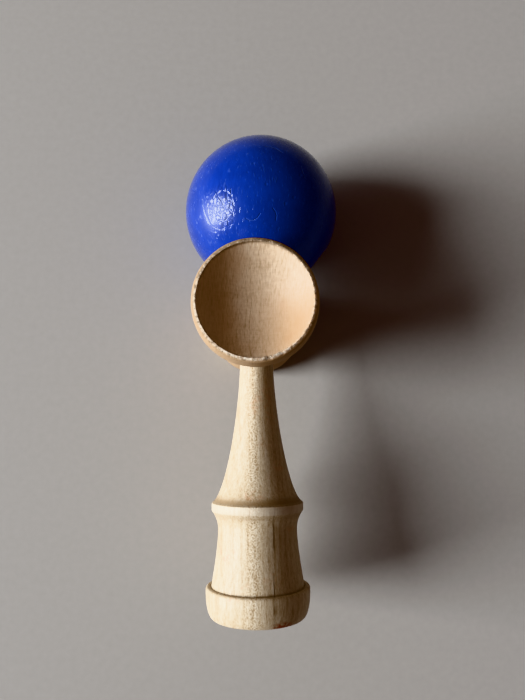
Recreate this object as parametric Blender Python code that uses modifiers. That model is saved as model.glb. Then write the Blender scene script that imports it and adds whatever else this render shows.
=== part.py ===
"""A kendama: a turned handle with a spike, a cross-piece with a cup at each end, and a ball.

The handle (ken) lies level along Y, with its spike towards +Y. The cross-piece (sarado) is pushed over the
spike as far as the handle's taper lets it. It stands upright on the rim of its small cup, with its big cup
facing up. The ball (tama) lies on the same surface, with the spike in its hole. Sizes are in metres.

Each turned piece is drawn as an outline of (radius, height) points about its own axis, and then turned.
"""

import math

import bmesh
import bpy
from mathutils import Matrix

# Cross-piece
CUP_SPAN = 0.0700  # from the big cup's rim to the small cup's rim
SARADO_WAIST_R = 0.0135
BIG_BELLY_R = 0.0217  # widest part of the big cup's wall
BIG_RIM_R = 0.0209  # outside of the big cup's rim
BIG_BOWL_R = 0.0194  # mouth of the big cup's bowl
BIG_BOWL_DEPTH = 0.0100
SMALL_BELLY_R = 0.0184
SMALL_RIM_R = 0.0178
SMALL_BOWL_R = 0.0163
SMALL_BOWL_DEPTH = 0.0086
BELLY_DEPTH = 0.0075  # from each rim down to the widest part of that cup's wall
WAIST_FLATNESS = 1.8  # 1 is a plain wave from waist to belly, more keeps the waist straight for longer
LIP_ROUND = 0.0004  # rounding on each edge of a cup's lip

# Handle, with lengths counted from the cross-piece's axis
SPIKE_REACH = 0.0530
SPIKE_TIP_R = 0.0033
SPIKE_ROOT_R = 0.0059  # where the spike leaves the cross-piece
NECK_TAPER = 0.0004  # how much thicker the handle is where the flare begins
NECK_REACH = 0.0190
FLARE_LENGTH = 0.0498
FLARE_EASE = 1.45  # how late the flare starts to open
FLARE_CURL = 0.59  # how sharply it opens at its end
RING_R = 0.01685
RING_WIDTH = 0.0028
COVE_LENGTH = 0.0071
COVE_EASE = 2.2  # how soon the cove behind the ring reaches the grip's width
GRIP_R = 0.01445  # narrowest part of the grip, behind the ring
GRIP_LENGTH = 0.0196
GRIP_END_R = 0.0169
BASE_R = 0.0189
BASE_SHOULDER = 0.0019  # length of the base's straight side
BASE_LENGTH = 0.0106
BASE_RIM_R = 0.0164  # outside of the flat rim that the base curves in to
BASE_BOWL_R = 0.0145
BASE_BOWL_DEPTH = 0.0070

# Ball
TAMA_R = 0.0300
SPIKE_HOLE_R = 0.0114
SPIKE_HOLE_BEVEL = 0.0012
TAMA_SIDE_SLIP = 0.0021  # how far the ball lies to the right of the handle's axis
TAMA_STAND_OFF = 0.0010  # between the ball and the cross-piece
SPIKE_END_GAP = 0.0041  # between the spike's tip and the full width's end in the ball's hole

# String holes and fits
STRING_HOLE_R = 0.0015
STRING_MOUTH_R = 0.0026  # countersink of the ball's string hole
FIT_GAP = 0.0003  # between the handle and what is on it
CUT_MARGIN = 0.0050  # how far a cutter stands out of what it cuts

# Facets
TURNING_STEPS = 40
DRILL_STEPS = 12
TURNED_QUARTER = (-math.pi / 2, 0.0, 0.0)  # lays a piece turned about Z along Y

HALF_SPAN = CUP_SPAN / 2
BELLY_HEIGHT = HALF_SPAN - BELLY_DEPTH
NECK_R = SPIKE_ROOT_R + NECK_TAPER
FLARE_END = NECK_REACH + FLARE_LENGTH
RING_END = FLARE_END + RING_WIDTH
COVE_END = RING_END + COVE_LENGTH
GRIP_END = COVE_END + GRIP_LENGTH
KEN_REACH = GRIP_END + BASE_LENGTH
TAMA_MOUTH_R = SPIKE_HOLE_R + SPIKE_HOLE_BEVEL
TAMA_MOUTH_DEPTH = math.sqrt(TAMA_R**2 - TAMA_MOUTH_R**2)  # from the ball's centre to its spike hole's mouth


def arc(centre, radius, start, end, count):
    """Points along an arc, with both ends, from one angle in degrees to another."""
    points = []
    for i in range(count + 1):
        angle = math.radians(start + (end - start) * i / count)
        points.append((centre[0] + radius * math.cos(angle), centre[1] + radius * math.sin(angle)))
    return points


def bowl(mouth_r, depth, mouth_height, up, count):
    """A shallow spherical bowl's section, from its bottom on the axis out to its mouth."""
    radius = (mouth_r**2 + depth**2) / (2 * depth)
    reach = math.degrees(math.asin(mouth_r / radius))
    facing = 1 if up else -1
    points = []
    for i in range(count + 1):
        angle = math.radians(reach * i / count)
        sunk = depth - radius * (1 - math.cos(angle))
        points.append((radius * math.sin(angle), mouth_height - facing * sunk))
    return points


def sarado_radius(height):
    """Outside of the cross-piece at a height above or below the handle's axis."""
    belly, rim = (BIG_BELLY_R, BIG_RIM_R) if height > 0 else (SMALL_BELLY_R, SMALL_RIM_R)
    share = abs(height) / BELLY_HEIGHT
    if share <= 1:
        return SARADO_WAIST_R + (belly - SARADO_WAIST_R) * (1 - math.cos(math.pi * share**WAIST_FLATNESS)) / 2
    beyond = (abs(height) - BELLY_HEIGHT) / (HALF_SPAN - BELLY_HEIGHT)
    return belly - (belly - rim) * beyond**2


def ken_radius(reach):
    """Outside of the handle's taper between the tip's rounding and the start of the flare."""
    if reach > SARADO_WAIST_R:
        share = (reach - SARADO_WAIST_R) / (SPIKE_REACH - SPIKE_TIP_R - SARADO_WAIST_R)
        return SPIKE_ROOT_R + (SPIKE_TIP_R - SPIKE_ROOT_R) * share
    share = (SARADO_WAIST_R - reach) / (SARADO_WAIST_R + NECK_REACH)
    return SPIKE_ROOT_R + (NECK_R - SPIKE_ROOT_R) * share


def tama_reach(drop):
    """How far the ball's centre lies ahead of the cross-piece's axis, for a centre this far below the ken."""
    reach = SARADO_WAIST_R + TAMA_MOUTH_DEPTH
    steps = 60
    for i in range(steps + 1):
        height = HALF_SPAN * (2 * i / steps - 1)
        across = max(abs(height + drop), TAMA_MOUTH_R)
        if across < TAMA_R:
            reach = max(reach, sarado_radius(height) + math.sqrt(TAMA_R**2 - across**2))
    return reach + TAMA_STAND_OFF


def tama_offset():
    """Where the ball's centre lies from the cross-piece's centre.

    It lies on the surface, slipped sideways, as far as the play of its hole round the spike lets it. How low
    it lies sets how near it stands to the cross-piece, and that sets how thick the spike is in its mouth, so
    the two are settled in turns.
    """
    rest_drop = HALF_SPAN - TAMA_R
    drop = rest_drop
    for _ in range(4):
        reach = tama_reach(drop)
        play = SPIKE_HOLE_R - FIT_GAP - ken_radius(reach - TAMA_MOUTH_DEPTH + SPIKE_HOLE_BEVEL)
        side = min(TAMA_SIDE_SLIP, play / 2)
        fall = math.sqrt(play**2 - side**2)
        drop = max(-fall, min(fall, rest_drop))
    return side, reach, -drop


def frame_offset():
    """Where the cross-piece's centre lies, so that the origin is under the middle of the whole object."""
    side, reach, _ = tama_offset()
    left = min(side - TAMA_R, -BIG_BELLY_R, -SMALL_BELLY_R)
    right = max(side + TAMA_R, BIG_BELLY_R, SMALL_BELLY_R)
    return -(left + right) / 2, (KEN_REACH - reach - TAMA_R) / 2, HALF_SPAN


def clear_scene():
    for obj in list(bpy.data.objects):
        bpy.data.objects.remove(obj, do_unlink=True)


def new_collection(name):
    collection = bpy.data.collections.new(name)
    bpy.context.scene.collection.children.link(collection)
    return collection


def new_material(name, colour, roughness, metallic, coat):
    material = bpy.data.materials.new(name)
    material.use_nodes = True
    shader = material.node_tree.nodes["Principled BSDF"]
    shader.inputs["Base Color"].default_value = (*colour, 1.0)
    shader.inputs["Roughness"].default_value = roughness
    shader.inputs["Metallic"].default_value = metallic
    shader.inputs["Coat Weight"].default_value = coat
    return material


def turned(name, outline, collection, steps=TURNING_STEPS, closed=False):
    """An object turned about its own Z axis from an outline that runs down its outer side."""
    mesh = bpy.data.meshes.new(name)
    links = [(i, i + 1) for i in range(len(outline) - 1)]
    if closed:
        links.append((len(outline) - 1, 0))
    mesh.from_pydata([(radius, 0.0, height) for radius, height in outline], links, [])
    obj = bpy.data.objects.new(name, mesh)
    collection.objects.link(obj)
    screw = obj.modifiers.new("turning", "SCREW")
    screw.axis = "Z"
    screw.angle = 2 * math.pi
    screw.steps = steps
    screw.render_steps = steps
    screw.use_merge_vertices = True
    screw.merge_threshold = 0.00001
    return obj


def hide_cutter(cutter):
    cutter.hide_render = True
    cutter.display_type = "WIRE"
    return cutter


def cut(obj, cutter):
    boolean = obj.modifiers.new(cutter.name, "BOOLEAN")
    boolean.operation = "DIFFERENCE"
    boolean.solver = "EXACT"
    boolean.object = cutter


def finish(obj, material):
    """Applies the modifiers, then gives the piece its shading and its material."""
    graph = bpy.context.evaluated_depsgraph_get()
    mesh = bpy.data.meshes.new_from_object(obj.evaluated_get(graph))
    obj.modifiers.clear()
    obj.data = mesh
    mesh.name = obj.name
    mesh.materials.clear()
    mesh.materials.append(material)
    mesh.shade_smooth()
    mesh.set_sharp_from_angle(angle=math.radians(35))


def string_drill(cutters):
    """The straight drill that runs from side to side through the cross-piece and the handle in it."""
    mesh = bpy.data.meshes.new("string_drill")
    drill = bmesh.new()
    bmesh.ops.create_cone(
        drill,
        cap_ends=True,
        segments=DRILL_STEPS,
        radius1=STRING_HOLE_R,
        radius2=STRING_HOLE_R,
        depth=2 * (SARADO_WAIST_R + CUT_MARGIN),
        matrix=Matrix.Rotation(math.pi / 2, 4, "Y"),
    )
    drill.to_mesh(mesh)
    drill.free()
    obj = bpy.data.objects.new("string_drill", mesh)
    cutters.objects.link(obj)
    return hide_cutter(obj)


def ken_reamer(cutters):
    """The tapered reamer that opens the cross-piece for the handle, with the fit's gap all round."""
    reach = SARADO_WAIST_R + CUT_MARGIN
    slope = (NECK_R - SPIKE_ROOT_R) / (SARADO_WAIST_R + NECK_REACH)
    front = SPIKE_ROOT_R - slope * CUT_MARGIN + FIT_GAP
    back = ken_radius(-SARADO_WAIST_R) + slope * CUT_MARGIN + FIT_GAP
    reamer = turned("ken_reamer", [(0.0, reach), (front, reach), (back, -reach), (0.0, -reach)], cutters)
    reamer.rotation_euler = TURNED_QUARTER
    return hide_cutter(reamer)


def cup_lip(bowl_r, rim_r, height, up):
    """The lip between a cup's bowl and its outer wall, flat on top with both edges rounded."""
    inner = arc((bowl_r + LIP_ROUND, height - LIP_ROUND), LIP_ROUND, 180, 90, 2)
    outer = arc((rim_r - LIP_ROUND, height - LIP_ROUND), LIP_ROUND, 90, 0, 2)
    lip = inner + outer
    return lip if up else [(radius, -level) for radius, level in reversed(lip)]


def make_sarado(parts, reamer, drill, material):
    """The cross-piece, turned about Z: big cup on top, small cup below, bored for the handle."""
    outline = bowl(BIG_BOWL_R, BIG_BOWL_DEPTH, HALF_SPAN - LIP_ROUND, True, 7)[:-1]
    outline += cup_lip(BIG_BOWL_R, BIG_RIM_R, HALF_SPAN, True)
    wall_top = HALF_SPAN - LIP_ROUND
    wall_steps = 20
    for i in range(1, wall_steps):
        height = wall_top - 2 * wall_top * i / wall_steps
        outline.append((sarado_radius(height), height))
    outline += cup_lip(SMALL_BOWL_R, SMALL_RIM_R, HALF_SPAN, False)
    outline += reversed(bowl(SMALL_BOWL_R, SMALL_BOWL_DEPTH, LIP_ROUND - HALF_SPAN, False, 7)[:-1])
    sarado = turned("sarado", outline, parts)
    cut(sarado, reamer)
    cut(sarado, drill)
    finish(sarado, material)
    return sarado


def flare_outline():
    """The handle's concave flare, from the neck out to the ring."""
    points = []
    steps = 9
    for i in range(steps + 1):
        share = 1 - (1 - i / steps) ** 1.5
        opened = 1 - (1 - share**FLARE_EASE) ** FLARE_CURL
        points.append((NECK_R + (RING_R - NECK_R) * opened, -NECK_REACH - FLARE_LENGTH * share))
    return points


def grip_outline():
    """Behind the ring: a short cove down to the grip, which then swells towards the base."""
    points = []
    cove_steps = 4
    for i in range(cove_steps + 1):
        share = i / cove_steps
        radius = GRIP_R + (RING_R - GRIP_R) * (1 - share) ** COVE_EASE
        points.append((radius, -RING_END - COVE_LENGTH * share))
    swell_steps = 4
    for i in range(1, swell_steps + 1):
        share = i / swell_steps
        points.append((GRIP_R + (GRIP_END_R - GRIP_R) * share**1.5, -COVE_END - GRIP_LENGTH * share))
    return points


def base_outline():
    """The base: a short straight side, a long curve in to the flat rim, and the shallow cup in its end."""
    curve_length = BASE_LENGTH - BASE_SHOULDER
    points = [(BASE_R, -GRIP_END)]
    steps = 6
    for i in range(steps + 1):
        angle = math.pi / 2 * i / steps
        radius = BASE_RIM_R + (BASE_R - BASE_RIM_R) * math.cos(angle)
        points.append((radius, -GRIP_END - BASE_SHOULDER - curve_length * math.sin(angle)))
    points += reversed(bowl(BASE_BOWL_R, BASE_BOWL_DEPTH, -KEN_REACH, False, 6))
    return points


def make_ken(parts, drill, material):
    """The handle, turned about Z with its spike up, then laid along Y."""
    outline = arc((0.0, SPIKE_REACH - SPIKE_TIP_R), SPIKE_TIP_R, 90, 0, 4)
    outline.append((ken_radius(SARADO_WAIST_R), SARADO_WAIST_R))
    outline += flare_outline() + grip_outline()
    outline += base_outline()
    ken = turned("ken", outline, parts)
    ken.rotation_euler = TURNED_QUARTER
    cut(ken, drill)
    finish(ken, material)
    return ken


def make_tama(parts, material):
    """The ball, turned about Z with its string hole up and its spike hole down, then laid along Y."""
    _, reach, _ = tama_offset()
    top = math.degrees(math.acos(STRING_MOUTH_R / TAMA_R))
    bottom = -math.degrees(math.acos(TAMA_MOUTH_R / TAMA_R))
    wall_end = SPIKE_REACH + SPIKE_END_GAP - reach
    drill_point = (SPIKE_HOLE_R - STRING_HOLE_R) / 3
    outline = arc((0.0, 0.0), TAMA_R, top, 0, 9) + arc((0.0, 0.0), TAMA_R, 0, bottom, 7)[1:]
    outline.append((SPIKE_HOLE_R, SPIKE_HOLE_BEVEL - TAMA_MOUTH_DEPTH))
    outline.append((SPIKE_HOLE_R, wall_end))
    outline.append((STRING_HOLE_R, wall_end + drill_point))
    outline.append((STRING_HOLE_R, outline[0][1] - (STRING_MOUTH_R - STRING_HOLE_R)))
    tama = turned("tama", outline, parts, closed=True)
    tama.rotation_euler = TURNED_QUARTER
    finish(tama, material)
    return tama


def main():
    clear_scene()
    parts = new_collection("kendama")
    cutters = new_collection("cutters")
    pale_wood = new_material("ken_wood", (0.78, 0.60, 0.40), 0.50, 0.0, 0.15)
    tan_wood = new_material("sarado_wood", (0.66, 0.46, 0.27), 0.62, 0.0, 0.05)
    blue_paint = new_material("tama_paint", (0.010, 0.055, 0.42), 0.22, 0.0, 0.8)
    drill = string_drill(cutters)
    pieces = [
        make_ken(parts, drill, pale_wood),
        make_sarado(parts, ken_reamer(cutters), drill, tan_wood),
        make_tama(parts, blue_paint),
    ]
    centre = bpy.data.objects.new("sarado_centre", None)
    parts.objects.link(centre)
    centre.location = frame_offset()
    for piece in pieces:
        piece.parent = centre
    pieces[-1].location = tama_offset()


main()
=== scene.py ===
"""A kendama on a plain floor: turned handle, two-cup cross-piece and painted ball.

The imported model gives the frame: where each piece is and how it moves. Each piece is turned again here with a
finer outline, worn at its edges, and given its wood or its paint. Lengths are in metres. Inside a material
they are in millimetres, from the cross-piece's centre, or for the paint from the ball's.
"""

import math

import bmesh
import bpy
from mathutils import Matrix, Vector, noise


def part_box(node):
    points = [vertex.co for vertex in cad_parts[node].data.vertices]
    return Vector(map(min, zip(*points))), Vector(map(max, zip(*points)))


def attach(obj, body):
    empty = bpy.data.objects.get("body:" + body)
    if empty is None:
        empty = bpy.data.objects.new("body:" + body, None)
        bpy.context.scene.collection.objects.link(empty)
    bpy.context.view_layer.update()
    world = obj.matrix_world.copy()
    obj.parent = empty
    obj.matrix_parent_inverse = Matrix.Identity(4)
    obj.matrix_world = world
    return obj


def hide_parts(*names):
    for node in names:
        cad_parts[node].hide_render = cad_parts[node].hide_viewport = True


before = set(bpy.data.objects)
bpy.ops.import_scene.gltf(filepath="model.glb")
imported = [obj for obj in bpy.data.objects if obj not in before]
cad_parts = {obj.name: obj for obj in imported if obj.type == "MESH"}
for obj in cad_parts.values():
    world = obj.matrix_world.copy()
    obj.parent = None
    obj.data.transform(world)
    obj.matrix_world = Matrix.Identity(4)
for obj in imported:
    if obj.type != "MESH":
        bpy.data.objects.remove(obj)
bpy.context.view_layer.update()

MM = 0.001

# Driving sizes from the frame
KEN_LOW, KEN_HIGH = (Vector(corner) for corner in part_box("ken"))
SARADO_LOW, SARADO_HIGH = (Vector(corner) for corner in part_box("sarado"))
TAMA_LOW, TAMA_HIGH = (Vector(corner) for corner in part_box("tama"))
SARADO_CENTRE = (SARADO_LOW + SARADO_HIGH) / 2

# Cross-piece, measured from its own centre
HALF_SPAN = (SARADO_HIGH.z - SARADO_LOW.z) / 2
WAIST_R = 13.5 * MM
BIG_BELLY_R = (SARADO_HIGH.x - SARADO_LOW.x) / 2
BIG_RIM_R = 20.9 * MM
BIG_BOWL_R = 19.5 * MM  # worn a little wider than it was turned
BIG_BOWL_DEPTH = 10.0 * MM
SMALL_BELLY_R = 18.4 * MM
SMALL_RIM_R = 17.8 * MM
SMALL_BOWL_R = 16.3 * MM
SMALL_BOWL_DEPTH = 8.6 * MM
LIP_EDGE = 0.15 * MM
LIP_FALL = 1.5 * MM  # how far each cup's worn lip falls from its bowl's edge to its outer wall
BELLY_DEPTH = 7.5 * MM  # from each rim down to the widest part of that cup's wall
BELLY_HEIGHT = HALF_SPAN - BELLY_DEPTH
WAIST_FLATNESS = 1.8  # 1 is a plain wave from waist to belly, more keeps the waist straight for longer

# Handle, measured from the cross-piece's axis
SPIKE_REACH = KEN_HIGH.y - SARADO_CENTRE.y
KEN_REACH = SARADO_CENTRE.y - KEN_LOW.y
SPIKE_TIP_R = 3.3 * MM
SPIKE_ROOT_R = 5.9 * MM
NECK_R = 6.3 * MM
NECK_REACH = 19.0 * MM
FLARE_LENGTH = 49.8 * MM
FLARE_EASE = 1.45  # how late the flare starts to open
FLARE_CURL = 0.59  # how sharply it opens at its end
RING_R = 16.85 * MM
RING_WIDTH = 2.8 * MM
COVE_LENGTH = 7.1 * MM
COVE_EASE = 2.2  # how soon the cove behind the ring reaches the grip's width
GRIP_R = 14.45 * MM
GRIP_LENGTH = 19.6 * MM
GRIP_END_R = 16.9 * MM
BASE_R = (KEN_HIGH.x - KEN_LOW.x) / 2
BASE_SHOULDER = 1.9 * MM
BASE_RIM_R = 16.4 * MM
BASE_BOWL_R = 14.5 * MM
BASE_BOWL_DEPTH = 7.0 * MM
FLARE_END = NECK_REACH + FLARE_LENGTH
RING_END = FLARE_END + RING_WIDTH
COVE_END = RING_END + COVE_LENGTH
GRIP_END = COVE_END + GRIP_LENGTH

# Ball, measured from its own centre
TAMA_R = (TAMA_HIGH.x - TAMA_LOW.x) / 2
SPIKE_HOLE_R = 11.4 * MM
SPIKE_MOUTH_R = 12.6 * MM
SPIKE_WALL_END = 13.36 * MM  # how far past the centre the spike hole keeps its full width
STRING_HOLE_R = 1.5 * MM
STRING_MOUTH_R = 2.6 * MM
SPIKE_MOUTH_DEPTH = math.sqrt(TAMA_R**2 - SPIKE_MOUTH_R**2)
STRING_MOUTH_DEPTH = math.sqrt(TAMA_R**2 - STRING_MOUTH_R**2)
TAMA_CENTRE = Vector(((TAMA_LOW.x + TAMA_HIGH.x) / 2, TAMA_HIGH.y - STRING_MOUTH_DEPTH, TAMA_LOW.z + TAMA_R))

# Chips in the big cup's lip: their direction and half width in degrees, and their depth in millimetres
LIP_CHIPS = (
    (-77, 4.0, 0.45),
    (-64, 3.0, 0.30),
    (-98, 5.0, 0.25),
    (152, 3.0, 0.35),
    (205, 4.0, 0.20),
    (98, 4.0, 0.30),
)

# Scratches in the paint, in millimetres: each one's width, then the points it runs through
SCRATCHES = (
    (0.46, (-21.4, -2.3, 20.9), (-21.1, -5.0, 20.8), (-20.6, -7.0, 20.7),
     (-19.8, -9.0, 20.7), (-18.7, -11.4, 20.5)),
    (0.40, (-12.0, -1.3, 27.5), (-11.9, -3.6, 27.3), (-11.5, -5.9, 27.0)),
    (0.42, (-10.6, -1.2, 28.1), (-10.3, -4.2, 27.9), (-9.6, -7.2, 27.4)),
    (0.36, (-5.3, -11.7, 27.1), (-4.2, -12.4, 27.0), (-2.6, -12.5, 27.1),
     (-1.2, -11.7, 27.6), (-0.2, -10.4, 28.1)),
    (0.36, (4.3, -8.5, 28.4), (5.2, -9.6, 28.0), (5.6, -10.9, 27.4), (5.4, -12.4, 26.8)),
    (0.36, (15.0, 9.0, 24.4), (15.4, 6.5, 24.9), (16.2, 4.0, 24.9)),
    (0.38, (2.0, 16.4, 25.0), (5.4, 15.6, 25.1), (8.0, 13.6, 25.5)),
    (0.46, (24.0, 9.0, -15.0), (26.0, 2.0, -14.6)),
    (0.42, (-16.0, 22.0, 12.0), (-19.0, 19.4, 13.0), (-20.0, 17.0, 14.0)),
    (0.46, (-27.0, 6.0, -11.0), (-24.0, 12.0, -13.0)),
)
SIDE_FLAT = Vector((0.785, -0.612, -0.10)).normalized()  # which way the knocked flat on the ball's side faces
SIDE_FLAT_DEPTH = 0.62 * MM

FIT_GAP = 0.3 * MM  # between the handle and the cross-piece
TOOL_MARGIN = 5.0 * MM  # how far a cutting tool stands out of what it cuts
MERGE_DISTANCE = 0.002 * MM
TURNING_STEPS = 180
SARADO_STEPS = 300  # more, for the chips in its lip
SHARP_ANGLE = math.radians(38)
TO_Y = Matrix.Rotation(-math.pi / 2, 4, "X")  # lays a piece turned about Z along Y

# Wood tones, from dark to pale, and how far along the range each lies
KEN_TONES = (
    (0.12, (0.325, 0.222, 0.133)),
    (0.38, (0.497, 0.385, 0.258)),
    (0.56, (0.614, 0.510, 0.373)),
    (0.82, (0.730, 0.640, 0.510)),
)
SARADO_TONES = (
    (0.12, (0.37, 0.252, 0.152)),
    (0.38, (0.535, 0.400, 0.275)),
    (0.58, (0.665, 0.525, 0.388)),
    (0.85, (0.765, 0.645, 0.505)),
)
BARE_TONES = (
    (0.25, (0.36, 0.24, 0.13)),
    (0.5, (0.56, 0.42, 0.27)),
    (0.75, (0.68, 0.55, 0.39)),
)

# Colours of marks on the handle
DASH_BROWN = (0.17, 0.115, 0.06)
SPLIT_BROWN = (0.15, 0.085, 0.04)
STAIN_RED = (0.30, 0.045, 0.02)
BLUSH_TAN = (0.62, 0.36, 0.22)
# Painted light on the ring's band, and painted shade in front of the ring and in the crease behind it
RING_PAINTED_LIGHT = (0.76, 0.68, 0.57)
RING_PAINTED_SHADE = (0.33, 0.235, 0.145)
# Dirt in the base's cup, and painted shade in the groove before the base
KEN_DIRT_AND_SHADE = (0.20, 0.13, 0.07)

# Colours of parts and marks of the cross-piece
HEART_TAN = (0.55, 0.365, 0.225)
# Painted shade for the left of the cross-piece, where the big bowl's inner wall lies in shadow
LEFT_PAINTED_SHADE = (0.40, 0.30, 0.205)
WALL_TAN = (0.42, 0.285, 0.175)
RAW_EDGE = (0.84, 0.76, 0.64)
LIP_GRIME = (0.22, 0.155, 0.10)
# Grime round the waist, and a darker ring round the bore where the handle enters
WAIST_GRIME_AND_BORE_RING = (0.27, 0.18, 0.10)

# Colours of the ball's paint
DEEP_BLUE = (0.013, 0.040, 0.24)
BRIGHT_BLUE = (0.024, 0.068, 0.36)
POCK_BLUE = (0.16, 0.22, 0.50)
# Painted grey sheen, standing for a reflection on the ball's right side
PAINTED_SHEEN_GREY = (0.050, 0.052, 0.070)
SCRATCH_BLUE = (0.17, 0.24, 0.52)
UNDERCOAT_RED = (0.11, 0.014, 0.010)

FLOOR_DARK = (0.43, 0.403, 0.374)
FLOOR_PALE = (0.47, 0.441, 0.411)


# Turning --------------------------------------------------------------------------------------------------


def shares(steps):
    """Even shares from 0 to 1, both included."""
    return [i / steps for i in range(steps + 1)]


def between(start, end, share):
    return start + (end - start) * share


def arc(centre, radius, start, end, count):
    """Points along an arc, from one angle in degrees to another."""
    points = []
    for share in shares(count):
        angle = math.radians(between(start, end, share))
        points.append((centre[0] + radius * math.cos(angle), centre[1] + radius * math.sin(angle)))
    return points


def bowl(mouth_r, depth, mouth_height, up, count):
    """A shallow round bowl's section, from its bottom on the axis out to its mouth."""
    radius = (mouth_r**2 + depth**2) / (2 * depth)
    reach = math.asin(mouth_r / radius)
    facing = 1 if up else -1
    points = []
    for share in shares(count):
        sunk = depth - radius * (1 - math.cos(reach * share))
        points.append((radius * math.sin(reach * share), mouth_height - facing * sunk))
    return points


def turn(outline, closed=False, steps=TURNING_STEPS):
    """A bmesh spun about Z from an outline of (radius, height) points."""
    shape = bmesh.new()
    corners = [shape.verts.new((radius, 0.0, height)) for radius, height in outline]
    pairs = list(zip(corners, corners[1:]))
    if closed:
        pairs.append((corners[-1], corners[0]))
    edges = [shape.edges.new(pair) for pair in pairs]
    bmesh.ops.spin(
        shape,
        geom=corners + edges,
        cent=(0, 0, 0),
        axis=(0, 0, 1),
        angle=2 * math.pi,
        steps=steps,
        use_merge=True,
    )
    bmesh.ops.remove_doubles(shape, verts=shape.verts, dist=MERGE_DISTANCE)
    bmesh.ops.recalc_face_normals(shape, faces=shape.faces)
    return shape


def place(shape, name, turned, centre):
    """Makes the bmesh an object at the origin, with its place in its mesh."""
    shape.transform(Matrix.Translation(centre) @ turned)
    mesh = bpy.data.meshes.new(name)
    shape.to_mesh(mesh)
    shape.free()
    piece = bpy.data.objects.new(name, mesh)
    bpy.context.scene.collection.objects.link(piece)
    return piece


def drill(piece, tools):
    """Cuts each tool out of the piece, and removes the tools."""
    for tool in tools:
        cut = piece.modifiers.new(tool.name, "BOOLEAN")
        cut.operation = "DIFFERENCE"
        cut.solver = "EXACT"
        cut.object = tool
    graph = bpy.context.evaluated_depsgraph_get()
    mesh = bpy.data.meshes.new_from_object(piece.evaluated_get(graph))
    piece.modifiers.clear()
    piece.data = mesh
    for tool in tools:
        bpy.data.objects.remove(tool)


def string_drill():
    """A straight drill from side to side through the cross-piece's centre."""
    shape = bmesh.new()
    bmesh.ops.create_cone(
        shape,
        cap_ends=True,
        segments=32,
        radius1=STRING_HOLE_R,
        radius2=STRING_HOLE_R,
        depth=2 * (WAIST_R + TOOL_MARGIN),
    )
    return place(shape, "string_drill", Matrix.Rotation(math.pi / 2, 4, "Y"), SARADO_CENTRE)


def finish(piece, material, body, node):
    """Shades the piece, and says what it is in the frame."""
    mesh = piece.data
    mesh.name = piece.name
    mesh.materials.clear()
    mesh.materials.append(material)
    mesh.shade_smooth()
    mesh.set_sharp_from_angle(angle=SHARP_ANGLE)
    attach(piece, body)
    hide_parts(node)


# Handle ---------------------------------------------------------------------------------------------------


def ken_outline():
    """The handle's outline from the spike's tip to the middle of the base cup."""
    tip_centre = SPIKE_REACH - SPIKE_TIP_R
    points = arc((0.0, tip_centre), SPIKE_TIP_R, 90, 0, 14)
    for share in shares(30)[1:]:
        points.append((between(SPIKE_TIP_R, SPIKE_ROOT_R, share), between(tip_centre, WAIST_R, share)))
    for share in shares(16)[1:-1]:
        points.append((between(SPIKE_ROOT_R, NECK_R, share), between(WAIST_R, -NECK_REACH, share)))
    for step in shares(60):
        share = 1 - (1 - step) ** 1.6  # closer points where the flare curls
        opened = 1 - (1 - share**FLARE_EASE) ** FLARE_CURL
        points.append((between(NECK_R, RING_R, opened), -NECK_REACH - FLARE_LENGTH * share))
    ring_round = 0.45 * MM
    points[-1] = (RING_R - ring_round, -FLARE_END)
    points += arc((RING_R - ring_round, -FLARE_END - ring_round), ring_round, 80, 0, 4)
    for share in shares(22):
        radius = between(GRIP_R, RING_R, (1 - share) ** COVE_EASE)
        points.append((radius, -RING_END - COVE_LENGTH * share))
    for share in shares(24)[1:]:
        points.append((between(GRIP_R, GRIP_END_R, share**1.5), -COVE_END - GRIP_LENGTH * share))
    return points + base_outline()


def base_outline():
    """The base: a shoulder with a soft edge, a long curve in to the flat rim, and the cup in its end."""
    shoulder_round = 0.85 * MM
    points = [(GRIP_END_R + 0.6 * MM, -GRIP_END)]
    points += arc((BASE_R - shoulder_round, -GRIP_END - shoulder_round), shoulder_round, 90, 0, 6)
    curve_length = KEN_REACH - GRIP_END - BASE_SHOULDER
    for share in shares(22):
        angle = math.pi / 2 * share
        radius = between(BASE_RIM_R, BASE_R, math.cos(angle))
        points.append((radius, -GRIP_END - BASE_SHOULDER - curve_length * math.sin(angle)))
    rim_round = 0.3 * MM
    points += arc((BASE_BOWL_R + rim_round, rim_round - KEN_REACH), rim_round, -90, -160, 4)
    mouth_in = 0.25 * MM  # where the rim's rounding ends and the bowl begins
    cup = bowl(BASE_BOWL_R - 0.05 * MM, BASE_BOWL_DEPTH - mouth_in, mouth_in - KEN_REACH, False, 24)
    return points + cup[::-1]


def make_ken():
    shape = turn(ken_outline())
    piece = place(shape, "ken_turned", TO_Y, SARADO_CENTRE)
    drill(piece, [string_drill()])
    finish(piece, ken_wood(), "ken", "ken")


# Cross-piece ----------------------------------------------------------------------------------------------


def sarado_radius(height):
    """Outside of the cross-piece at a height above or below its middle."""
    belly, rim = (BIG_BELLY_R, BIG_RIM_R) if height > 0 else (SMALL_BELLY_R, SMALL_RIM_R)
    share = abs(height) / BELLY_HEIGHT
    if share <= 1:
        return WAIST_R + (belly - WAIST_R) * (1 - math.cos(math.pi * share**WAIST_FLATNESS)) / 2
    beyond = (abs(height) - BELLY_HEIGHT) / (HALF_SPAN - BELLY_HEIGHT)
    return belly - (belly - rim) * beyond**2


def cup_lip(bowl_r, up):
    """The worn lip between a cup's bowl and its outer wall: sharp inside, and falling away outside."""
    facing = 1 if up else -1
    fall = sarado_radius(facing * (HALF_SPAN - LIP_FALL)) - bowl_r - LIP_EDGE
    lip = arc((bowl_r + LIP_EDGE, HALF_SPAN - LIP_EDGE), LIP_EDGE, 175, 90, 5)
    for share in shares(16)[1:]:
        angle = math.pi / 2 * share
        out = bowl_r + LIP_EDGE + fall * math.sin(angle)
        lip.append((out, HALF_SPAN - LIP_FALL * (1 - math.cos(angle)) ** 0.8))
    return lip if up else [(radius, -level) for radius, level in reversed(lip)]


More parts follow.
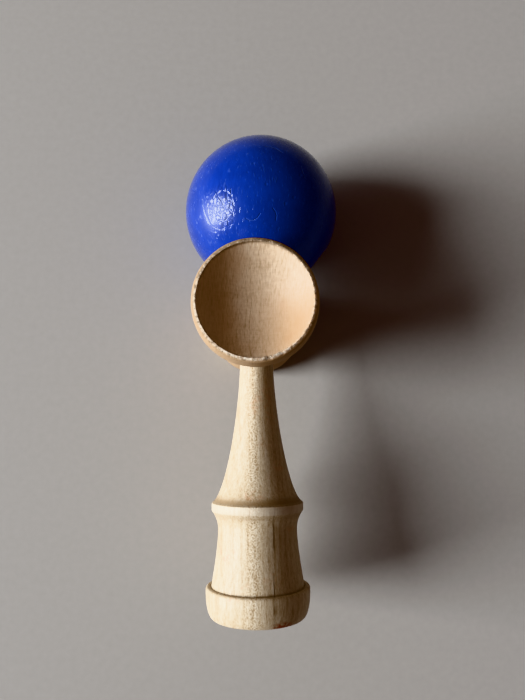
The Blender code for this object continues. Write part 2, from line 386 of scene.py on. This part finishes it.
def sarado_outline():
    """From the bottom of the big cup over its lip, down the wall, and into the small cup."""
    points = bowl(BIG_BOWL_R, BIG_BOWL_DEPTH - LIP_EDGE, HALF_SPAN - LIP_EDGE, True, 40)
    points += cup_lip(BIG_BOWL_R, True)
    wall_top = HALF_SPAN - LIP_FALL
    for share in shares(76)[1:-1]:
        height = between(wall_top, -wall_top, share)
        points.append((sarado_radius(height), height))
    points += cup_lip(SMALL_BOWL_R, False)
    small_bowl = bowl(SMALL_BOWL_R, SMALL_BOWL_DEPTH - LIP_EDGE, LIP_EDGE - HALF_SPAN, False, 40)
    return points + small_bowl[::-1]


def wear_lips(shape):
    """Rubs and nicks the lips: shallow hollows all round, and a few deeper chips on the big cup."""
    worn_depth = 1.6 * MM
    for corner in shape.verts:
        radius = math.hypot(corner.co.x, corner.co.y)
        height = corner.co.z
        below = HALF_SPAN - abs(height)
        bowl_r = BIG_BOWL_R if height > 0 else SMALL_BOWL_R
        inside = (radius - bowl_r) / MM + 1.0
        if below > worn_depth or inside < 0:
            continue
        nearness = (1 - below / worn_depth) * min(1.0, inside)
        spot = Vector((corner.co.x, corner.co.y, height * 2)) / MM
        rub = 0.12 * max(0.0, noise.noise(spot * 0.35) + 0.1) + 0.08 * max(0.0, noise.noise(spot * 0.95))
        if height > 0:
            rub += chip_depth(math.degrees(math.atan2(corner.co.y, corner.co.x)), spot)
        corner.co.z -= math.copysign(rub * nearness * MM, height)


def chip_depth(direction, spot):
    """How deep the chips have cut at a direction round the big cup's lip, in millimetres."""
    ragged = 0.6 + 0.7 * noise.noise(spot * 1.3)
    depth = 0.0
    for centre, half_width, deep in LIP_CHIPS:
        apart = abs((direction - centre + 180) % 360 - 180)
        depth += deep * ragged * max(0.0, 1 - (apart / half_width) ** 2)
    return depth


def ken_reamer():
    """The tapered tool that opens the cross-piece for the handle."""
    reach = WAIST_R + TOOL_MARGIN
    slope = (NECK_R - SPIKE_ROOT_R) / (WAIST_R + NECK_REACH)
    front = SPIKE_ROOT_R - slope * TOOL_MARGIN + FIT_GAP
    back = front + slope * 2 * reach
    shape = turn([(0.0, reach), (front, reach), (back, -reach), (0.0, -reach)])
    return place(shape, "ken_reamer", TO_Y, SARADO_CENTRE)


def make_sarado():
    shape = turn(sarado_outline(), steps=SARADO_STEPS)
    wear_lips(shape)
    piece = place(shape, "sarado_turned", Matrix.Identity(4), SARADO_CENTRE)
    drill(piece, [ken_reamer(), string_drill()])
    finish(piece, sarado_wood(), "sarado", "sarado")


# Ball -----------------------------------------------------------------------------------------------------


def tama_outline():
    """Round the outside from the string hole to the spike hole, and back through both holes."""
    top = math.degrees(math.acos(STRING_MOUTH_R / TAMA_R))
    bottom = -math.degrees(math.acos((SPIKE_MOUTH_R + 0.2 * MM) / TAMA_R))
    points = arc((0.0, 0.0), TAMA_R, top, bottom, 110)
    points.append((SPIKE_MOUTH_R - 0.25 * MM, 0.05 * MM - SPIKE_MOUTH_DEPTH))
    points.append((SPIKE_HOLE_R + 0.3 * MM, 0.9 * MM - SPIKE_MOUTH_DEPTH))
    wall_start = 1.3 * MM - SPIKE_MOUTH_DEPTH
    for share in shares(24):
        points.append((SPIKE_HOLE_R, between(wall_start, SPIKE_WALL_END, share)))
    drill_point = (SPIKE_HOLE_R - STRING_HOLE_R) / 3
    countersink = STRING_MOUTH_R - STRING_HOLE_R
    points.append((STRING_HOLE_R, SPIKE_WALL_END + drill_point))
    points.append((STRING_HOLE_R, STRING_MOUTH_DEPTH - countersink))
    return points


def dent_tama(shape):
    """Knocks shallow dents into the ball, most of them round the spike hole, and one flat on its side."""
    flat = TO_Y.inverted() @ SIDE_FLAT
    outside = 0.985 * TAMA_R
    for corner in shape.verts:
        if corner.co.length < outside:
            continue
        spot = corner.co / MM
        near_hole = max(0.0, -corner.co.z / TAMA_R) ** 3
        hollow = max(0.0, noise.noise(spot * 0.22 + Vector((7.0, 3.0, 1.0))) - 0.18)
        knock = max(0.0, noise.noise(spot * 0.55) - 0.35)
        corner.co *= 1 - (0.0012 * hollow + (0.003 + 0.012 * near_hole) * knock)
        proud = corner.co.dot(flat) - TAMA_R + SIDE_FLAT_DEPTH
        if proud > 0:
            corner.co -= flat * proud * 0.85


def make_tama():
    shape = turn(tama_outline(), closed=True)
    dent_tama(shape)
    piece = place(shape, "tama_turned", TO_Y, TAMA_CENTRE)
    finish(piece, tama_paint(), "tama", "tama")


# Materials ------------------------------------------------------------------------------------------------


class Field:
    """A number that varies over a surface. Arithmetic on it adds the shader's Math nodes."""

    def __init__(self, recipe, socket):
        self.recipe = recipe
        self.socket = socket

    def math(self, operation, *others):
        return self.recipe.math(operation, self, *others)

    def __add__(self, other):
        return self.math("ADD", other)

    def __radd__(self, other):
        return self.math("ADD", other)

    def __sub__(self, other):
        return self.math("SUBTRACT", other)

    def __rsub__(self, other):
        return self.recipe.math("SUBTRACT", other, self)

    def __mul__(self, other):
        return self.math("MULTIPLY", other)

    def __rmul__(self, other):
        return self.math("MULTIPLY", other)

    def __truediv__(self, other):
        return self.math("DIVIDE", other)

    def __pow__(self, other):
        return self.math("POWER", other)

    def abs(self):
        return self.math("ABSOLUTE")

    def clamp(self):
        return self.math("MINIMUM", 1.0).math("MAXIMUM", 0.0)

    def bell(self, width):
        """1 where the field is 0, falling to almost nothing at the width on either side."""
        return self.recipe.math("EXPONENT", self * self * (-4.0 / width**2))

    def ease(self, low, high):
        """0 at low and before it, 1 at high and past it, and smooth between. Low may be above high."""
        inputs = {0: self, 1: low, 2: high, 3: 0.0, 4: 1.0}
        node = self.recipe.node("ShaderNodeMapRange", {"interpolation_type": "SMOOTHSTEP"}, inputs)
        return Field(self.recipe, node.outputs[0])

    def wave(self, spacing):
        """Swings between 0 and 1, once over each spacing."""
        return (self * (2 * math.pi / spacing)).math("SINE") * 0.5 + 0.5


class Recipe:
    """One material's nodes, built round its Principled shader."""

    def __init__(self, name, constants):
        self.material = bpy.data.materials.new(name)
        self.material.use_nodes = True
        self.tree = self.material.node_tree
        self.shader = self.tree.nodes["Principled BSDF"]
        for key, value in constants.items():
            self.shader.inputs[key].default_value = value

    def node(self, kind, settings, inputs):
        """Any node: its settings are set first, then the values or links of its sockets."""
        node = self.tree.nodes.new(kind)
        for key, value in settings.items():
            if key == "stops":
                self.set_stops(node.color_ramp, value)
            else:
                setattr(node, key, value)
        for key, value in inputs.items():
            self.feed(node.inputs[key], value)
        return node

    def give(self, name, value):
        """Feeds one of the shader's own sockets."""
        self.feed(self.shader.inputs[name], value)

    def set_stops(self, ramp, stops):
        while len(ramp.elements) < len(stops):
            ramp.elements.new(1.0)
        for element, (position, colour) in zip(ramp.elements, stops):
            element.position = position
            element.color = (*colour, 1.0)

    def feed(self, socket, value):
        if isinstance(value, Field):
            self.tree.links.new(value.socket, socket)
        elif isinstance(value, bpy.types.NodeSocket):
            self.tree.links.new(value, socket)
        elif isinstance(value, tuple) and len(value) == 3 and socket.type == "RGBA":
            socket.default_value = (*value, 1.0)
        else:
            socket.default_value = value

    def math(self, operation, *values):
        node = self.node("ShaderNodeMath", {"operation": operation}, dict(enumerate(values)))
        return Field(self, node.outputs[0])

    def place(self, centre, spread=(1.0, 1.0, 1.0)):
        """Object coordinates in millimetres from a centre, divided by the spread along each axis."""
        coordinates = self.node("ShaderNodeTexCoord", {}, {}).outputs["Object"]
        scale = [1000.0 / width for width in spread]
        moved = [-value * factor for value, factor in zip(centre, scale)]
        inputs = {0: coordinates, 1: moved, 3: scale}
        return self.node("ShaderNodeMapping", {"vector_type": "POINT"}, inputs).outputs[0]

    def split(self, vector):
        node = self.node("ShaderNodeSeparateXYZ", {}, {0: vector})
        return [Field(self, output) for output in node.outputs]

    def noise(self, vector, scale, detail=3.0, roughness=0.5, distortion=0.0):
        inputs = {"Vector": vector, "Scale": scale, "Detail": detail}
        inputs.update({"Roughness": roughness, "Distortion": distortion})
        return Field(self, self.node("ShaderNodeTexNoise", {}, inputs).outputs[0])

    def cells(self, vector, scale, feature="F1", output="Distance"):
        node = self.node("ShaderNodeTexVoronoi", {"feature": feature}, {"Vector": vector, "Scale": scale})
        return Field(self, node.outputs[output])

    def mix(self, amount, first, second):
        """A colour that goes from the first to the second as the amount goes from 0 to 1."""
        node = self.node("ShaderNodeMix", {"data_type": "RGBA"}, {0: amount, 6: first, 7: second})
        return node.outputs[2]

    def ramp(self, amount, stops):
        return self.node("ShaderNodeValToRGB", {"stops": stops}, {0: amount}).outputs[0]

    def bump(self, height, depth_mm, normal=None):
        """Relief from a height field between 0 and 1, its full depth given in millimetres."""
        inputs = {"Strength": 1.0, "Distance": depth_mm * MM, "Height": height}
        if normal is not None:
            inputs["Normal"] = normal
        return self.node("ShaderNodeBump", {}, inputs).outputs[0]


def distance(*offsets):
    """How far a point lies from where every offset is 0."""
    squares = [offset * offset for offset in offsets]
    return sum(squares[1:], squares[0]) ** 0.5


def stroke(recipe, at, start, end, width):
    """1 along a straight line between two points, falling away to either side within the width."""
    begin = Vector(start)
    run = Vector(end) - begin
    apart = recipe.node("ShaderNodeVectorMath", {"operation": "SUBTRACT"}, {0: at, 1: begin}).outputs[0]
    along = recipe.node("ShaderNodeVectorMath", {"operation": "DOT_PRODUCT"}, {0: apart, 1: run}).outputs[1]
    share = (Field(recipe, along) / run.length_squared).clamp()
    nearest = recipe.node("ShaderNodeVectorMath", {"operation": "SCALE"}, {0: run, 3: share}).outputs[0]
    gap = recipe.node("ShaderNodeVectorMath", {"operation": "DISTANCE"}, {0: apart, 1: nearest}).outputs[1]
    return Field(recipe, gap).bell(width)


def ken_wood():
    """Pale hardwood with the grain along the handle, and a looped figure down its top."""
    recipe = Recipe("ken_wood", {"Roughness": 0.5, "IOR": 1.5})
    at = recipe.place(SARADO_CENTRE)
    x, y, z = recipe.split(at)
    long_grain = recipe.place(SARADO_CENTRE, (1.0, 7.0, 1.0))
    longest_grain = recipe.place(SARADO_CENTRE, (1.0, 30.0, 1.0))
    drift = recipe.noise(longest_grain, 0.25, 2.0) - 0.5
    late = (distance(x - 85.0, z + 20.0) + drift * 3.0).wave(2.3) ** 5.0
    fibre = recipe.noise(long_grain, 2.4, 3.0, 0.65)
    streak = recipe.noise(longest_grain, 0.8, 3.0, 0.55)
    column = (x + 1.2 + drift * 3.0).bell(5.2) * z.ease(-2.0, 4.0)
    knots = recipe.cells(recipe.place(SARADO_CENTRE, (1.0, 1.25, 1.0)), 0.58)
    loops = (knots + fibre * 0.2).wave(1 / 2.6)
    flecks = recipe.noise(recipe.place(SARADO_CENTRE, (0.7, 1.0, 0.7)), 1.7, 2.0, 0.65) - 0.5
    tone = 0.57 + (fibre - 0.5) * 0.86 + (streak - 0.5) * 0.42 - late * 0.10
    tone = tone + column * ((loops - 0.5) * 0.28 + flecks * 0.70) + flecks * 0.36
    colour = recipe.ramp(tone.clamp(), KEN_TONES)
    colour = ken_marks(recipe, at, colour, drift, long_grain)
    colour = ken_ring(recipe, y, colour)
    # Dirt in the base's cup, and painted shade in the groove before the base.
    dirt_and_shade = ken_dirt_and_shade(recipe, at)
    recipe.give("Base Color", recipe.mix(dirt_and_shade, colour, KEN_DIRT_AND_SHADE))
    recipe.give("Roughness", (0.44 + (1.0 - fibre) * 0.18 + dirt_and_shade * 0.2).clamp())
    relief = recipe.bump(fibre * 0.6 + streak * 0.2 + column * loops * 0.12, 0.11)
    lathe_marks = (y + drift * 0.7).wave(0.55)
    recipe.give("Normal", recipe.bump(lathe_marks, 0.003, relief))
    return recipe.material


def ken_marks(recipe, at, colour, drift, long_grain):
    """A dark dash on the flare, a split along the grip, a red stain on the base, and a faint blush."""
    x, y, z = recipe.split(at)
    dash = stroke(recipe, at, (-5.0, -48.0, 5.6), (-5.2, -52.4, 6.6), 0.45)
    colour = recipe.mix(dash * 0.6, colour, DASH_BROWN)
    split_line = (x - 5.9 - drift * 3.0).bell(0.6) * recipe.noise(long_grain, 0.8).ease(0.36, 0.58)
    split_line = split_line * z.ease(0.0, 6.0) * y.ease(-66.0, -76.0)
    colour = recipe.mix(split_line * 0.8, colour, SPLIT_BROWN)
    from_stain = distance((x - 8.4) * 0.7071, (y + 108.0) * 1.7321)
    stain = from_stain.ease(3.2, 0.8) * z.ease(2.0, 8.0) * recipe.noise(at, 0.9, 3.0).ease(0.36, 0.56)
    colour = recipe.mix(stain * 0.8, colour, STAIN_RED)
    blush = recipe.noise(at, 0.10, 2.0).ease(0.56, 0.70) * recipe.noise(at, 0.6, 2.0).ease(0.42, 0.7)
    return recipe.mix(blush * 0.35, colour, BLUSH_TAN)


def ken_ring(recipe, y, colour):
    """Painted light on the ring's band, and painted shade in front of it and in the crease behind it."""
    front = FLARE_END / MM
    back = RING_END / MM
    # Painted light: the ring's band is made paler.
    band = y.ease(-front, -front - 0.4) * y.ease(-back - 0.6, -back)
    colour = recipe.mix(band * 0.45, colour, RING_PAINTED_LIGHT)
    # Painted shade in the crease behind the ring and on the flare just in front of it.
    crease = (y + (back + 1.3)).bell(2.0) * 0.30
    shade = (y + (front - 0.9)).bell(3.0) * y.ease(-front - 0.3, 0.5 - front) * 0.85
    return recipe.mix((shade + crease).clamp(), colour, RING_PAINTED_SHADE)


def ken_dirt_and_shade(recipe, at):
    """How much painted shade darkens the groove before the base, and how much dirt lies in the base's cup."""
    x, y, z = recipe.split(at)
    from_axis = distance(x, z)
    # Painted shade in the groove at the step before the base.
    groove = (y + GRIP_END / MM).bell(0.9) * from_axis.ease(17.9, 17.0)
    end = KEN_REACH / MM
    end_cup = y.ease(1.0 - end, 0.2 - end) * from_axis.ease(14.6, 13.6)
    return (groove * 0.6 + end_cup * 0.25).clamp() * recipe.noise(at, 0.7).ease(0.2, 0.6)


def sarado_wood():
    """Tan hardwood with the grain along the cross-piece, so both bowls show the growth rings end on."""
    recipe = Recipe("sarado_wood", {"Roughness": 0.6, "IOR": 1.5})
    at = recipe.place(SARADO_CENTRE)
    x, y, z = recipe.split(at)
    drift = recipe.noise(recipe.place(SARADO_CENTRE, (1.0, 2.0, 6.0)), 0.12, 2.0) - 0.5
    late = (distance(x - 78.0, y + 9.0) + drift * 3.0).wave(1.5) ** 6.0
    banding = recipe.noise(recipe.place(SARADO_CENTRE, (1.0, 9.0, 9.0)), 0.5, 2.0).ease(0.42, 0.66)
    ring_strength = 0.03 + ((x - 0.6).bell(7.0) * 0.20 + 0.10) * banding
    fibre = recipe.noise(recipe.place(SARADO_CENTRE, (1.0, 5.0, 9.0)), 2.3, 3.0, 0.65)
    rays = recipe.noise(recipe.place(SARADO_CENTRE, (4.0, 0.8, 5.0)), 1.4, 2.0)
    cloud = recipe.noise(at, 0.09, 3.0)
    tone = 0.58 + (fibre - 0.5) * 0.86 + (rays - 0.5) * 0.22 + (cloud - 0.5) * 0.4 - late * ring_strength
    colour = recipe.ramp(tone.clamp(), SARADO_TONES)
    heart = x.ease(-5.0, 12.0) * y.ease(14.0, -4.0) * 0.74
    heart = heart + recipe.noise(at, 0.07, 2.0).ease(0.50, 0.66) * 0.2
    colour = recipe.mix(heart.clamp(), colour, HEART_TAN)
    # Painted shade: the left of the piece is darkened, where the big bowl's inner wall lies in shadow.
    colour = recipe.mix(x.ease(-6.0, -15.0) * 0.4, colour, LEFT_PAINTED_SHADE)
    across = distance(x, y)
    half_span = HALF_SPAN / MM
    big_lip = lip_mask(half_span - z, across, BIG_BOWL_R / MM)
    small_lip = lip_mask(z + half_span, across, SMALL_BOWL_R / MM)
    lips = (big_lip + small_lip).clamp()
    grit = recipe.noise(at, 1.3, 4.0, 0.7)
    colour = sarado_lips(recipe, at, colour, lips, grit)
    colour = sarado_walls(recipe, at, colour, fibre)
    recipe.give("Base Color", colour)
    recipe.give("Roughness", (0.52 + (1.0 - fibre) * 0.16 + lips * 0.2).clamp())
    recipe.give("Normal", recipe.bump(grit * lips, 0.26, recipe.bump(fibre, 0.08)))
    return recipe.material


def lip_mask(below_rim, across, bowl_r):
    """1 on a cup's lip, in millimetres below its rim and across from its axis."""
    return below_rim.ease(1.7, 0.5) * across.ease(bowl_r - 0.7, bowl_r + 0.1)


def sarado_lips(recipe, at, colour, lips, grit):
    """Raw pale wood on the inner edge of the lips, most of it near the handle, and grime between."""
    x, y, z = recipe.split(at)
    bowl_r = BIG_BOWL_R / MM
    far_side = y.ease(4.0, 16.0) * 0.4
    near_side = y.ease(-12.0, -19.0)
    inner_edge = distance(x, y).ease(bowl_r + 1.2, bowl_r + 0.5)
    raw = lips * inner_edge * grit.ease(0.42, 0.60) * (0.5 - far_side + near_side * 0.5)
    grime = lips * (recipe.noise(at, 0.8, 4.0, 0.65) + far_side * 0.35).ease(0.47, 0.62)
    colour = recipe.mix(raw, colour, RAW_EDGE)
    return recipe.mix(grime * 0.75, colour, LIP_GRIME)


def sarado_walls(recipe, at, colour, fibre):
    """Darker wood outside the bowls, with grime round the waist and a darker ring round the bore."""
    x, y, z = recipe.split(at)
    across = distance(x, y)
    upper = z.ease(0.0, 1.0) * across.ease(BIG_BOWL_R / MM + 0.7, BIG_BOWL_R / MM + 1.3)
    lower = z.ease(0.0, -1.0) * across.ease(SMALL_BOWL_R / MM + 0.7, SMALL_BOWL_R / MM + 1.3)
    wall = (upper + lower + z.abs().ease(25.0, 23.5)).clamp()
    colour = recipe.mix((wall * (0.80 + (fibre - 0.5) * 0.5)).clamp(), colour, WALL_TAN)
    bore_edge = (distance(x, z) - 6.6).bell(1.2) * across.ease(12.0, 13.0) * 0.35
    waist = z.bell(16.0) * recipe.noise(at, 0.35, 3.0).ease(0.45, 0.7) * 0.22
    return recipe.mix((bore_edge + waist).clamp(), colour, WAIST_GRIME_AND_BORE_RING)


def tama_paint():
    """Satin blue paint, crazed, dented and scratched, worn to the wood round the spike hole, with a painted
    grey sheen on its right side.
    """
    recipe = Recipe("tama_paint", {"Roughness": 0.42, "IOR": 1.5, "Coat Roughness": 0.36, "Coat IOR": 1.5})
    at = recipe.place(TAMA_CENTRE)
    x, y, z = recipe.split(at)
    brushed = recipe.noise(recipe.place(TAMA_CENTRE, (1.0, 3.2, 1.4)), 0.95, 3.0, 0.6)
    cloud = recipe.noise(at, 0.08, 2.0)
    tone = (cloud.ease(0.3, 0.7) * 0.4 + brushed * 0.9 - 0.15).clamp()
    colour = recipe.mix(tone, DEEP_BLUE, BRIGHT_BLUE)
    pocks = recipe.cells(at, 0.34).ease(0.26, 0.10) * recipe.noise(at, 0.30, 2.0).ease(0.44, 0.60)
    dashes = recipe.noise(recipe.place(TAMA_CENTRE, (1.0, 3.0, 1.5)), 1.3, 1.0).ease(0.60, 0.74)
    colour = recipe.mix(pocks * 0.18 + dashes * 0.26, colour, POCK_BLUE)
    # Painted sheen: the paint greys towards the ball's right side, standing for a reflection.
    colour = recipe.mix(x.ease(11.0, 27.0) * 0.35, colour, PAINTED_SHEEN_GREY)
    scratches = tama_scratches(recipe, at)
    colour = recipe.mix(scratches * 0.4, colour, SCRATCH_BLUE)
    bare, undercoat = tama_bare(recipe, at)
    grain = recipe.noise(recipe.place(TAMA_CENTRE, (1.0, 7.0, 1.0)), 2.0, 3.0, 0.6)
    colour = recipe.mix(bare, colour, recipe.ramp(grain, BARE_TONES))
    recipe.give("Base Color", recipe.mix(undercoat, colour, UNDERCOAT_RED))

    painted = 1.0 - bare
    recipe.give("Coat Weight", (painted * (0.60 - pocks * 0.2)).clamp())
    scuffs = recipe.noise(recipe.place(TAMA_CENTRE, (0.6, 3.0, 1.0)), 1.1, 2.0).ease(0.60, 0.72)
    rough = 0.13 + brushed * 0.10 + pocks * 0.2 + scuffs * 0.15 + bare * 0.45
    recipe.give("Roughness", rough.clamp())
    relief = recipe.bump(brushed, 0.035)
    relief = recipe.bump(tama_crazing(recipe, at), 0.44, relief)
    relief = recipe.bump((1.0 - scratches) * painted - pocks * 0.5 + dashes * 0.25, 0.13, relief)
    recipe.give("Normal", relief)
    return recipe.material


def tama_scratches(recipe, at):
    """1 along every scratch."""
    strokes = []
    for width, *points in SCRATCHES:
        strokes += [stroke(recipe, at, start, end, width) for start, end in zip(points, points[1:])]
    marks = strokes[0]
    for mark in strokes[1:]:
        marks = marks.math("MAXIMUM", mark)
    return marks


def tama_crazing(recipe, at):
    """The wrinkled patch where the paint has crazed and lifted."""
    x, y, z = recipe.split(at)
    patch = distance((x + 14.4) * 1.1402, (y + 7.4) * 0.7416, z - 25.0).ease(8.4, 3.0)
    wrinkled = recipe.noise(at, 0.50, 0.6, 0.5, 1.0)
    furrows = recipe.cells(recipe.place(TAMA_CENTRE, (1.0, 1.6, 1.0)), 0.56, "DISTANCE_TO_EDGE")
    crazing = recipe.cells(recipe.place(TAMA_CENTRE, (1.0, 1.35, 1.0)), 0.62)
    return (wrinkled * 0.5 + crazing * 0.2 + furrows.ease(0.0, 0.30) * 0.55) * patch


def tama_bare(recipe, at):
    """Where the wood shows: in the holes, round the spike hole and on the flat; and where undercoat shows."""
    x, y, z = recipe.split(at)
    mouth = (y + SPIKE_MOUTH_DEPTH / MM).ease(2.6, 0.6)
    chipped = (mouth + recipe.noise(at, 0.55, 3.0, 0.65) * 0.9 - 0.55).ease(0.40, 0.50)
    off_flat = x * SIDE_FLAT.x + y * SIDE_FLAT.y + z * SIDE_FLAT.z - TAMA_R / MM
    side_chip = (off_flat + recipe.noise(at, 0.6, 3.0, 0.65) * 1.1).ease(-0.10, 0.12)
    inside = distance(x, y, z).ease(TAMA_R / MM - 0.9, TAMA_R / MM - 1.7)
    bare = (chipped + side_chip + inside).clamp()
    undercoat = bare.ease(0.02, 0.5) * (1.0 - bare.ease(0.75, 1.0) * (1.0 - side_chip * 0.85))
    return bare, undercoat


# Studio ---------------------------------------------------------------------------------------------------


def make_floor():
    shape = bmesh.new()
    bmesh.ops.create_grid(shape, x_segments=8, y_segments=8, size=3.5)
    floor = place(shape, "floor", Matrix.Identity(4), Vector((0, 0, 0)))
    recipe = Recipe("pale_floor", {"Roughness": 0.85})
    grain = recipe.noise(recipe.place((0, 0, 0)), 0.35, 3.0)
    recipe.give("Base Color", recipe.mix(grain, FLOOR_DARK, FLOOR_PALE))
    floor.data.materials.append(recipe.material)


def make_window():
    """A tall soft light standing to the left, like a window that starts at the floor."""
    data = bpy.data.lights.new("window", "AREA")
    data.shape = "RECTANGLE"
    data.size = 1.92
    data.size_y = 3.52
    data.energy = 384.0
    data.color = (0.896, 0.956, 1.0)
    lamp = bpy.data.objects.new("window", data)
    aside = Vector((-3.98, -0.40, 0.0))
    lamp.location = aside + Vector((0, 0, 2.06))
    lamp.rotation_euler = aside.to_track_quat("Z", "Y").to_euler()
    bpy.context.scene.collection.objects.link(lamp)


def make_world():
    world = bpy.data.worlds.new("studio")
    world.use_nodes = True
    background = world.node_tree.nodes["Background"]
    background.inputs["Color"].default_value = (1.0, 0.82, 0.80, 1.0)
    background.inputs["Strength"].default_value = 0.135
    bpy.context.scene.world = world


def make_camera():
    """Looks almost straight down from above the handle, leaning a little towards the ball."""
    data = bpy.data.cameras.new("camera")
    data.lens = 30.86
    data.sensor_width = 36.0
    data.clip_start = 0.01
    camera = bpy.data.objects.new("camera", data)
    lean = Matrix.Rotation(math.radians(7.6), 4, "X")
    roll = Matrix.Rotation(math.radians(-0.45), 4, "Z")
    standing = SARADO_CENTRE + Vector((2.3, -42.65, 227.4)) * MM
    camera.matrix_world = Matrix.Translation(standing) @ lean @ roll
    bpy.context.scene.collection.objects.link(camera)
    bpy.context.scene.camera = camera


def set_tones():
    """A firm contrast that keeps the paint's colour, with soft highlights."""
    view = bpy.context.scene.view_settings
    view.view_transform = "Khronos PBR Neutral"
    view.look = "High Contrast"


make_ken()
make_sarado()
make_tama()
make_floor()
make_window()
make_world()
make_camera()
set_tones()
